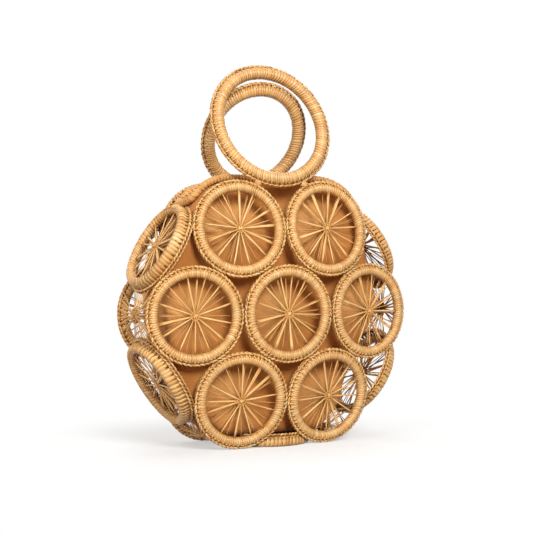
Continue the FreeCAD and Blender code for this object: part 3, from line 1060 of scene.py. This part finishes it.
@dataclass
class Gusset:
    """Four standing rings, the base ring and the corner webs between them."""

    dresser: Dresser
    turns: int = 84
    stitches: int = 66
    web_inset: float = 0.001
    strap_width: float = 0.00225
    strap_begin: float = 100.0
    strap_neck: float = 0.86
    side_seed: int = 300
    base_seed: int = 320
    corner_seed: int = 340
    corner_turn: float = 30.0
    corner_strands: int = 8
    corner_width: float = 0.0008
    corner_thick: float = 0.0003
    corner_start: float = 0.0015
    corner_depth: float = 0.0012
    side_spread: float = 0.42
    panel_spread: float = 0.5
    hub_radii: tuple[float, float] = (0.0036, 0.0060)
    hub_spokes: int = 12

    def build(self) -> None:
        """Build the rings, webs, borders and corner webs."""
        borders = Bundle()
        for index, spot in enumerate(SideSpot):
            name, degrees = spot.value
            self.ring(borders, CAGE.side_place(degrees), "side_ring_" + name, "side_web_" + name,
                      self.side_seed + index, CAGE.border_ring_radius, CAGE.side_border_inset)
        self.ring(borders, CAGE.base_place(), "base_ring", "base_web", self.base_seed, CAGE.base_border_radius,
                  CAGE.base_border_inset)
        self.dresser.dress(borders.piece("side_borders_straw"), self.dresser.stitch, Body.BAG, "border_straw",
                           "side_borders")
        for index, spot in enumerate(CornerSpot):
            self.corner(spot, self.corner_seed + index)

    def ring(self, borders: Bundle, place: Place, ring: str, web: str, seed: int, reach: float, inset: float) -> None:
        """Build one gusset ring.

        Args:
            borders: Bundle of the gusset's borders.
            place: The ring's place.
            ring: Node of the ring.
            web: Node of the web.
            seed: Seed of its small differences.
            reach: Radius of its border.
            inset: How far the border lies inwards.
        """
        # Painted shade on the winding's back slope between the straps
        wound = Winding(place, CAGE.ring_radius, CAGE.wrap_radius, self.turns, seed, lean=0.5, seam=(-100.0, -25.0),
                        painted_seam_shade=0.55).build(ring + "_straw")
        self.dresser.dress(wound, self.dresser.wrap, Body.BAG, "wrapped_straw", ring)
        spun = SpokeWeb(place.shifted(-self.web_inset), seed, front_spokes=15, back_spokes=25, strands=1.8,
                        width=0.00095, back_width=0.00064, hub_radius=0.0046).build(web + "_straw")
        self.dresser.dress(spun, self.dresser.web, Body.BAG, "web_straw", web)
        chain = ChainBorder(borders, place.shifted(-inset), reach, self.stitches, seed, half_height=0.0017,
                            half_breadth=0.0013, strand=0.0013)
        chain.lay()
        straps = ChainBorder(borders, place, reach, self.stitches, seed)
        straps.tie(CAGE.ring_radius, CAGE.wrap_radius, self.stitches, self.strap_width, inset, self.strap_begin,
                   self.strap_neck)

    def neighbours(self, degrees: float) -> list[tuple[Place, float, float]]:
        """Borders round a corner.

        Args:
            degrees: The corner's direction from the middle.

        Returns:
            Each border's place, its radius and half the angle that the strands take up on it.
        """
        rings: list[tuple[Place, float, float]] = []
        for turn in (-self.corner_turn, self.corner_turn):
            beside = (degrees + turn) % 360
            if beside == 270.0:
                place, radius = CAGE.base_place().shifted(-CAGE.base_border_inset), CAGE.base_border_radius
            else:
                place, radius = CAGE.side_place(beside).shifted(-CAGE.side_border_inset), CAGE.border_ring_radius
            rings.append((place, radius, self.side_spread))
        panel_spot = next(item for item in Spot if item.value[1] == degrees)
        for face in Face:
            rings.append((CAGE.panel_place(panel_spot, face), CAGE.border_ring_radius, self.panel_spread))
        return rings

    def corner(self, spot: CornerSpot, seed: int) -> None:
        """Build one corner web.

        Args:
            spot: Which corner.
            seed: Seed of its small differences.
        """
        name, degrees = spot.value
        away = radial(degrees)
        centre = CAGE.middle + away * (CAGE.side_reach - CAGE.side_border_inset / 2 + CAGE.dome_drop)
        hub = Place(centre, away, np.array((0, 1.0, 0)), tangent(degrees))
        rng = np.random.default_rng(seed)
        bundle = Bundle()
        unit = SpokeWeb.spoke
        count = self.corner_strands
        for place, radius, spread in self.neighbours(degrees):
            angle = place.angle_to(centre) + np.linspace(-spread, spread, count) + rng.normal(0, 0.02, count)
            ends = place.points(radius, angle, 0.0)
            start = unit_vector(ends - centre)
            start -= (start @ away)[:, None] * away
            depth = rng.uniform(-self.corner_depth, self.corner_depth, count)[:, None]
            begin = centre + start * self.corner_start + away * depth
            lines = begin[:, None] + (ends - begin)[:, None] * unit.levels[None][..., None]
            tone = np.clip(rng.normal(0.5, 0.15, count), 0, 1)
            bundle.lay(unit, lines, away, self.corner_width, self.corner_thick, tone, 0.0, 0.9)
        for reach in self.hub_radii:
            knot = SpokeWeb(hub, seed, hub_radius=reach)
            # The back hub gets a little painted shade
            knot.hub(bundle, 0.0004, self.hub_spokes, 0.0)
            knot.hub(bundle, -0.0012, self.hub_spokes, 0.05)
        piece = bundle.piece(f"corner_web_{name}_straw")
        self.dresser.dress(piece, self.dresser.web, Body.BAG, "web_straw", "corner_web_" + name)


@dataclass
class Handle:
    """Wrapped ring handle, its border and the ties that hold it."""

    name: str
    body: Body
    face: Face
    radius: float
    lean: float
    seed: int
    section: float = 0.0059
    turn_pitch: float = 0.0026
    stitch_pitch: float = 0.0044
    stitch_width: float = 0.0008
    stitch_begin: float = 48.0
    stitch_neck: float = 0.7
    border_gap: float = 0.0014
    tie_x: float = 0.024972
    tie_y: float = 0.037949
    tie_z: float = 0.247695
    tie_gap: float = 0.0026
    tie_loops: int = 5
    tie_pitch: float = 0.0011
    tie_waver: float = 0.0003
    tie_half_height: float = 0.0027
    tie_half_depth: float = 0.0017
    tie_lean: tuple[float, float] = (0.42, 0.9)

    def place(self) -> Place:
        """Place of the ring as it leans inwards."""
        out = np.array((0, self.face.value[1], 0.0))
        up = np.array((0, 0, 1.0)) * math.cos(self.lean) - out * math.sin(self.lean)
        normal = out * math.cos(self.lean) + np.array((0, 0, 1.0)) * math.sin(self.lean)
        reach = self.radius + self.section + self.border_gap + self.tie_gap
        drop = math.sqrt(reach ** 2 - self.tie_x ** 2)
        pivot = np.array((0, self.face.value[1] * self.tie_y, self.tie_z))
        return Place(pivot + up * drop, normal, np.array((1.0, 0, 0)), up)

    def build(self, dresser: Dresser) -> None:
        """Build the winding, the border and the ties.

        Args:
            dresser: Who dresses the pieces.
        """
        place = self.place()
        turns = round(TURN * self.radius / self.turn_pitch)
        # The winding gets painted shade between the border's stitches
        winding = Winding(place, self.radius, self.section, turns, self.seed, painted_seam_shade=0.4, around=18)
        wound = winding.build(self.name + "_ring_straw")
        dresser.dress(wound, dresser.wrap, self.body, "handle_straw", self.name + "_ring")
        bundle = Bundle()
        stitches = round(TURN * self.radius / self.stitch_pitch)
        reach = self.radius + self.section + self.border_gap
        chain = ChainBorder(bundle, place, reach, stitches, self.seed, half_height=0.0009, half_breadth=0.0008,
                            strand=0.00105)
        chain.lay()
        chain.tie(self.radius, self.section, stitches, self.stitch_width, 0.0, self.stitch_begin, self.stitch_neck)
        border = bundle.piece(self.name + "_border_straw")
        dresser.dress(border, dresser.stitch, self.body, "border_straw", self.name + "_border")
        self.ties(dresser)

    def ties(self, dresser: Dresser) -> None:
        """Build the loops of straw that tie the handle down."""
        rng = np.random.default_rng(self.seed + 5)
        bundle = Bundle()
        unit = SpokeWeb.coil
        count = self.tie_loops
        sideways, upwards = self.tie_lean
        angle = unit.levels[None] * TURN + np.zeros((count, 1))
        reach = np.sqrt((self.tie_half_height * np.cos(angle)) ** 2 + (self.tie_half_depth * np.sin(angle)) ** 2)
        shift = (np.arange(count)[:, None] - (count - 1) / 2) * self.tie_pitch + self.tie_waver * np.sin(angle)
        for mirror in (-1.0, 1.0):
            centre = np.array((mirror * self.tie_x, self.face.value[1] * self.tie_y, self.tie_z))
            lean = np.array((mirror * sideways, 0, upwards))
            along = np.array((upwards, 0, -mirror * sideways))
            loop = Place(centre, along / np.linalg.norm(along), np.array((0, 1.0, 0)), lean / np.linalg.norm(lean))
            lines = loop.points(reach, angle, shift)
            bundle.lay(unit, lines, loop.outward(angle), 0.0006, 0.0004, rng.uniform(0.3, 0.8, count))
        tied = bundle.piece(self.name + "_ties_straw")
        dresser.dress(tied, dresser.stitch, Body.BAG, "border_straw", self.name + "_ties")


@dataclass
class Pouch:
    """Cloth pouch that hangs inside, with a rolled hem round its mouth."""

    half_depth: float = 0.0322
    foot_half_depth: float = 0.0300
    foot_round: float = 0.009
    mouth_half_depth: float = 0.0124
    front_flare: float = 0.0105
    back_flare: float = 0.0
    flare_start: float = 0.024
    flare_run: float = 0.055
    back_drop: float = 0.0055
    middle: float = 0.1255
    neck_start: float = 0.1875
    pleat_start: float = 0.15
    rim_height: float = 0.2500
    rim_reach: float = 0.0446
    square: float = 16.0
    wall: float = 0.0009
    around: int = 160
    levels: int = 56
    top_x: float = 0.046062
    top_z: float = 0.205298
    ease: float = 0.004
    # Painted light: how far the lit patch reaches round each front ring's middle, and how far left and up it lies
    lit_reach: float = 0.027
    lit_left: float = 0.005
    lit_up: float = 0.003
    hem_radius: float = 0.0036
    hem_inset: float = 0.0001
    hem_line: float = 0.0482
    hem_end: float = math.radians(145.0)
    hem_segments: int = 300
    hem_around: int = 14
    hem_crease: float = 0.055
    stitch_count: int = 112
    stitch_width: float = 0.0013
    stitch_slant: float = 0.0032
    stitch_begin: float = math.radians(-115)
    stitch_turn: float = math.radians(250)
    lacing_width: float = 0.0009
    lacing_from: float = 0.05
    seed: int = 511
    # Heights and half widths of the outline
    right: Outline = ((0.0119, 0.0430), (0.0297, 0.0642), (0.0457, 0.0714), (0.0742, 0.0722), (0.1000, 0.0950),
                      (0.1255, 0.1140), (0.1500, 0.1075), (0.1734, 0.0990), (0.1900, 0.0980), (0.2050, 0.0965),
                      (0.2266, 0.0825), (0.2500, 0.0783))
    left: Outline = ((0.0119, 0.0575), (0.0388, 0.0852), (0.0548, 0.0983), (0.0673, 0.1050), (0.1255, 0.1154),
                     (0.1734, 0.1135), (0.1900, 0.1055), (0.2050, 0.0972), (0.2266, 0.0822), (0.2500, 0.0783))

    def rim(self, x: np.ndarray) -> np.ndarray:
        """Height of the pouch's top edge at a distance from its middle."""
        side = np.clip(np.abs(x) - self.top_x, 0.0, self.rim_reach * 0.98)
        return self.top_z + np.sqrt(self.rim_reach ** 2 - side ** 2)

    def mouth(self, x: np.ndarray, out: object) -> np.ndarray:
        """Half depth of the mouth at a distance from its middle; its front ends lie close to the panel."""
        end = np.clip((np.abs(x) - self.flare_start) / self.flare_run, 0, 1)
        flare = np.where(np.asarray(out) < 0, self.front_flare, self.back_flare)
        return self.mouth_half_depth + flare * end * end * (3 - 2 * end)

    def build(self, dresser: Dresser) -> None:
        """Build the pouch and its hem.

        Args:
            dresser: Who dresses the pieces.
        """
        hem = self.hem()
        dresser.dress(hem, dresser.hem, Body.BAG, "hem_cloth", "liner_hem")
        stitches = self.stitches()
        dresser.dress(stitches, dresser.stitch, Body.BAG, "border_straw")
        pouch = self.shell()
        dresser.dress(pouch, dresser.pouch, Body.BAG, "pouch_cloth", "liner_pouch")

    def shell(self) -> bpy.types.Object:
        """Model the pouch from a cylinder: cut into levels, then shaped as it hangs.

        Returns:
            The new object.
        """
        Bench.clear()
        bpy.ops.mesh.primitive_cylinder_add(vertices=self.around, radius=1.0, depth=1.0, location=(0, 0, 0.5),
                                            end_fill_type="TRIFAN")
        piece = bpy.context.object
        piece.name = piece.data.name = "liner_pouch_cloth"
        bpy.ops.object.transform_apply(location=True, rotation=True, scale=True)
        Bench.cut_levels(piece, self.levels)
        bpy.context.tool_settings.mesh_select_mode = (False, False, True)
        for face in piece.data.polygons:
            face.select = face.normal.z > 0.9
        bpy.ops.object.mode_set(mode="EDIT")
        bpy.ops.mesh.delete(type="FACE")
        bpy.ops.object.mode_set(mode="OBJECT")
        hung = self.hang(Bench.points(piece))
        Bench.move(piece, hung)
        # Painted light and shade on the cloth, as its tone attribute
        Bench.attribute(piece, "tone", self.painted_light(hung))
        Bench.outwards(piece)
        Bench.apply(piece, "SOLIDIFY", thickness=self.wall, offset=-1.0)
        return piece

    def hang(self, unit: np.ndarray) -> np.ndarray:
        """Positions of the hanging cloth for points of a unit cylinder.

        Args:
            unit: Points of the cylinder.

        Returns:
            Points of the pouch.
        """
        turn = (np.arctan2(unit[:, 1], unit[:, 0]) / TURN) % 1.0
        spread = np.hypot(unit[:, 0], unit[:, 1])
        corners = (0.0, 0.075, 0.425, 0.575, 0.925, 1.0)
        wide = np.interp(turn, corners, (1, 1, -1, -1, 1, 1))
        deep = np.interp(turn, corners, (0, 1, 1, -1, -1, 0))
        blunt = (np.abs(wide) ** self.square + np.abs(deep) ** self.square) ** (1 / self.square)
        wide, deep = wide / blunt, deep / blunt
        low = self.right[0][0]
        top_x = self.right[-1][1] * np.abs(wide)
        z = low + (self.rim(top_x) - low) * unit[:, 2] ** 0.9
        half = np.where(wide > 0, self.reach(self.right, z), self.reach(self.left, z))
        depth = np.interp(z, (low, self.middle), (self.foot_half_depth, self.half_depth))
        drawn = np.clip((z - self.neck_start) / (self.rim(top_x) - self.neck_start), 0, 1)
        depth += (self.mouth(top_x, deep) - depth) * drawn
        foot = np.clip((z - low) / self.foot_round, 0, 1)
        plump = 0.86 + 0.14 * np.sqrt(1 - (1 - foot) ** 2)
        x = half * wide * spread * (0.88 + 0.12 * plump)
        y = depth * deep * spread * plump
        room = (1 - np.abs(wide) ** 4) * np.abs(deep) ** 3 * spread
        y += np.sign(deep) * self.folds(x, z) * room
        return np.stack([x, y, z], axis=1)

    def folds(self, x: np.ndarray, z: np.ndarray) -> np.ndarray:
        """How far the cloth stands out in pleats below its mouth and in slack waves.

        Args:
            x: Distances from the middle.
            z: Heights.

        Returns:
            One distance for each point.
        """
        neck = np.clip((z - self.pleat_start) / (self.rim_height - self.pleat_start), 0, 1)
        pleats = (0.0004 + 0.0016 * neck) * np.sin(x * 175 + 1.4 * np.sin(z * 24 + 0.5) + 0.8)
        waves = 0.0010 * np.sin(x * 108 - 1.1 * np.sin(z * 17) + 2.1) + 0.0006 * np.sin(z * 105 + x * 31)
        return pleats + waves - 0.0008

    def painted_light(self, points: np.ndarray) -> np.ndarray:
        """Share of painted light at each point; the rest is tinted towards the painted shade tint.

        Args:
            points: Points of the pouch.

        Returns:
            One share for each point, highest behind the front rings, a little up and left of their middles.
        """
        centres = [CAGE.panel_place(spot, Face.FRONT).centre for spot in Spot]
        away = [np.hypot(points[:, 0] - centre[0] + self.lit_left, points[:, 2] - centre[2] - self.lit_up)
                for centre in centres]
        return np.exp(-(np.min(away, axis=0) / self.lit_reach) ** 2)

    def reach(self, outline: Outline, z: np.ndarray) -> np.ndarray:
        """Half width of an outline at each height, with its corners eased."""
        heights, halves = zip(*outline)
        return sum(np.interp(z + step * self.ease, heights, halves) for step in (-2, -1, 0, 1, 2)) / 5

    def hem_path(self) -> np.ndarray:
        """Closed middle line of the hem, round the mouth."""
        runs = []
        turn = np.linspace(self.hem_end, math.pi / 2, 26)
        left = np.stack([-self.top_x + self.hem_line * np.cos(turn), np.zeros(len(turn)),
                         self.top_z + self.hem_line * np.sin(turn)], 1)
        right = left[::-1] * (-1, 1, 1)
        for side in (-1.0, 1.0):
            run = np.concatenate([left, np.linspace(left[-1], right[0], 24)[1:-1], right])
            run[:, 1] = side * self.mouth(run[:, 0], side)
            run[:, 2] -= self.back_drop * (side > 0) * np.clip(np.abs(run[:, 0]) / 0.04 - 0.5, 0, 1)
            runs.append(run if side < 0 else run[::-1])
        joins = [np.linspace(runs[index][-1], runs[1 - index][0], 8)[1:-1] for index in (0, 1)]
        return np.concatenate([runs[0], joins[0], runs[1], joins[1]])

    def hem_line_points(self, count: int) -> tuple[np.ndarray, np.ndarray, np.ndarray, np.ndarray]:
        """Even steps along the hem's middle line.

        Args:
            count: Number of steps.

        Returns:
            Distances, points, sideways directions and upward directions.
        """
        path = self.hem_path()
        for _ in range(3):
            path = (path + np.roll(path, 1, 0) + np.roll(path, -1, 0)) / 3
        steps = np.linalg.norm(np.roll(path, -1, 0) - path, axis=1)
        run = np.concatenate([[0], np.cumsum(steps)])
        loop = np.vstack([path, path[:1]])
        spots = np.linspace(0, run[-1], count, endpoint=False)
        line = np.stack([np.interp(spots, run, loop[:, axis]) for axis in range(3)], axis=1)
        along = unit_vector(np.roll(line, -1, 0) - np.roll(line, 1, 0))
        inner = unit_vector(line - np.array((0, 0, self.top_z - 0.03)))
        side = unit_vector(np.cross(along, inner))
        return spots, line, side, np.cross(side, along)

    def stitches(self) -> bpy.types.Object:
        """Whip stitches round the hem, and the lacing that sews it to the back rings.

        Returns:
            The new object.
        """
        rng = np.random.default_rng(self.seed)
        bundle = Bundle()
        unit = SpokeWeb.spoke
        levels = unit.levels[None]
        count = self.stitch_count
        _, line, side, front = self.hem_line_points(count)
        along = unit_vector(np.roll(line, -1, 0) - np.roll(line, 1, 0))
        turn = self.stitch_begin + self.stitch_turn * levels + rng.normal(0, 0.12, (count, 1))
        out = side[:, None] * np.sin(turn)[..., None] + front[:, None] * np.cos(turn)[..., None]
        slant = along[:, None] * ((levels - 0.5) * self.stitch_slant)[..., None]
        tone = np.clip(rng.normal(0.45, 0.15, count), 0, 1)
        wide = self.stitch_width * rng.uniform(0.85, 1.15, (count, 1))
        # Painted shade on the whip stitches, darkest at their ends
        dark = 0.1 + 0.55 * np.abs(2 * levels - 1) ** 3
        bundle.lay(unit, line[:, None] + out * self.hem_radius + slant, out, wide, 0.00035, tone, dark, taper=0.55)
        for spot in (Spot.TOP_LEFT, Spot.TOP_RIGHT):
            place = CAGE.panel_place(spot, Face.BACK)
            beside = (line[:, 0] * place.centre[0] > 0) & (np.abs(line[:, 0]) > self.lacing_from)
            near = line[(line[:, 1] > 0) & beside]
            aims = np.array([place.angle_to(point) for point in near]) + rng.normal(0, 0.04, len(near))
            for lean in (-0.2, 0.2):
                ends = place.points(CAGE.border_ring_radius, aims + lean, 0.0)
                lines = near[:, None] + (ends - near)[:, None] * levels[..., None]
                # Painted shade on the lacing
                bundle.lay(unit, lines, np.array((0, 0, 1.0)), self.lacing_width, 0.0003,
                           rng.uniform(0.3, 0.7, len(near)), 0.1, 0.9)
        return bundle.piece("liner_hem_stitches")

    def hem(self) -> bpy.types.Object:
        """Model the rolled hem from a plain ring laid along its path.

        Returns:
            The new object.
        """
        spots, line, side, front = self.hem_line_points(self.hem_segments)
        piece = Bench.spun_ring("liner_hem_cloth", 1.0, 0.1, self.hem_segments, self.hem_around)
        minor, column = Bench.ring_angles(piece, 1.0, self.hem_segments)
        place = spots[column]
        crease = np.sin(place * 620 + minor * 1.0 + 2.2 * np.sin(place * 71)) * 0.5
        crease = crease + np.sin(place * 260 - minor + 1.1) * 0.5
        radius = self.hem_radius * (1 + self.hem_crease * crease) - self.hem_inset
        shaped = line[column] + side[column] * (radius * np.sin(minor))[:, None]
        shaped = shaped + front[column] * (radius * np.cos(minor))[:, None]
        Bench.move(piece, shaped)
        Bench.outwards(piece)
        return piece


@dataclass
class Studio:
    """Floor, lights and camera."""

    target: Vector = field(default_factory=lambda: Vector((-0.02277, -0.051, 0.16992)))
    azimuth: float = math.radians(-27.36)
    elevation: float = math.radians(0.54)
    roll: float = math.radians(-0.49)
    distance: float = 1.30216
    lens: float = 94.747
    floor_size: float = 30.0
    fade_start: float = 0.10
    fade_end: float = 0.27
    fade_least: float = 0.45
    thrown_back: Colour = (0.27, 0.23, 0.19)
    ambient: Colour = (1.0, 0.72, 0.46)
    ambient_strength: float = 0.25
    lamp_colour: Colour = (1.0, 0.985, 0.96)
    lamp_aim: tuple[float, float, float] = (0, 0, 0.16)

    # Name, place, size and power of each lamp
    LAMPS: ClassVar[tuple] = (("key", (-0.2, -2.0, 1.25), 0.9, 52.0), ("fill", (-1.8, -0.95, 0.55), 1.0, 24.0),
                              ("top", (0.1, 0.4, 2.1), 1.3, 11.0), ("rim", (1.2, 1.8, 0.9), 1.2, 18.0))

    def build(self) -> None:
        """Set up the stage."""
        self.floor()
        self.world()
        self.lamps()
        self.camera()
        bpy.context.scene.view_settings.view_transform = "Standard"

    def floor(self) -> None:
        """Pale floor that fades to white away from the bag and keeps its shadow."""
        Bench.clear()
        bpy.ops.mesh.primitive_plane_add(size=self.floor_size, location=(0, 0, 0))
        floor = bpy.context.object
        floor.name = "studio_floor"
        nodes = Nodes(bpy.data.materials.new("pale floor"))
        place = nodes.place()
        far = nodes.add("ShaderNodeVectorMath", {0: place}, operation="LENGTH").outputs["Value"]
        fade = nodes.add("ShaderNodeMapRange", {"Value": far, "From Min": self.fade_start, "From Max": self.fade_end,
                                                "To Min": self.fade_least}, interpolation_type="SMOOTHSTEP")
        seen = nodes.seen()
        share = nodes.math("MULTIPLY", seen, fade.outputs["Result"])
        white = nodes.add("ShaderNodeEmission", {"Color": (1, 1, 1, 1), "Strength": 1.0})
        grain = nodes.noise({"Vector": place, "Scale": 60.0})
        pale = nodes.ramp(grain, ((0.3, (0.885, 0.935, 0.99)), (0.7, (0.895, 0.945, 1.0))))
        nodes.surface({"Base Color": nodes.mix(seen, self.thrown_back, pale), "Roughness": 0.9,
                       "Specular IOR Level": 0.0})
        mixed = nodes.add("ShaderNodeMixShader", {0: share, 1: nodes.shader.outputs["BSDF"],
                                                  2: white.outputs["Emission"]})
        nodes.fill(nodes.tree.nodes["Material Output"].inputs["Surface"], mixed.outputs[0])
        floor.data.materials.append(nodes.owner)

    def world(self) -> None:
        """Soft warm light from all round, white where it is seen."""
        nodes = Nodes(bpy.data.worlds.new("studio"))
        bpy.context.scene.world = nodes.owner
        nodes.tree.nodes.clear()
        soft = nodes.add("ShaderNodeBackground", {"Color": (*self.ambient, 1), "Strength": self.ambient_strength})
        white = nodes.add("ShaderNodeBackground", {"Color": (1, 1, 1, 1), "Strength": 1.0})
        mix = nodes.add("ShaderNodeMixShader", {0: nodes.seen(), 1: soft.outputs[0], 2: white.outputs[0]})
        nodes.add("ShaderNodeOutputWorld", {"Surface": mix.outputs[0]})

    def lamps(self) -> None:
        """Soft lamps: a key from the front, a fill from the left, one from above and a rim light from behind."""
        for name, spot, size, power in self.LAMPS:
            light = bpy.data.lights.new(name, "AREA")
            light.shape = "DISK"
            light.size = size
            light.energy = power
            light.color = self.lamp_colour
            lamp = bpy.data.objects.new(name, light)
            bpy.context.scene.collection.objects.link(lamp)
            lamp.location = spot
            aim = Vector(self.lamp_aim) - Vector(spot)
            lamp.rotation_euler = aim.to_track_quat("-Z", "Y").to_euler()

    def camera(self) -> None:
        """Camera at the photograph's place."""
        lens = bpy.data.cameras.new("camera")
        lens.lens = self.lens
        lens.sensor_width = 36.0
        lens.sensor_fit = "HORIZONTAL"
        lens.dof.use_dof = False
        lens.clip_start = 0.01
        camera = bpy.data.objects.new("camera", lens)
        bpy.context.scene.collection.objects.link(camera)
        level = math.cos(self.elevation)
        back = Vector((math.sin(self.azimuth) * level, -math.cos(self.azimuth) * level, math.sin(self.elevation)))
        right = (-back).cross(Vector((0, 0, 1))).normalized()
        up = right.cross(-back)
        tilted = right * math.cos(self.roll) + up * math.sin(self.roll)
        upright = up * math.cos(self.roll) - right * math.sin(self.roll)
        turn = Matrix((tilted, upright, back)).transposed()
        camera.matrix_world = Matrix.Translation(self.target + back * self.distance) @ turn.to_4x4()
        bpy.context.scene.camera = camera


def main() -> None:
    """Build and dress the bag, then set the stage."""
    logging.basicConfig(level=logging.INFO, format="%(message)s")
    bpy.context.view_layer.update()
    dresser = Dresser()
    dresser.wires()
    for face in Face:
        Panel(face, dresser).build()
    Gusset(dresser).build()
    Handle("front_handle", Body.FRONT_HANDLE, Face.FRONT, 0.0549, math.radians(19.2), 401).build(dresser)
    Handle("rear_handle", Body.REAR_HANDLE, Face.BACK, 0.047862, math.radians(23.5), 402).build(dresser)
    Pouch().build(dresser)
    Studio().build()


if __name__ == "__main__":
    main()
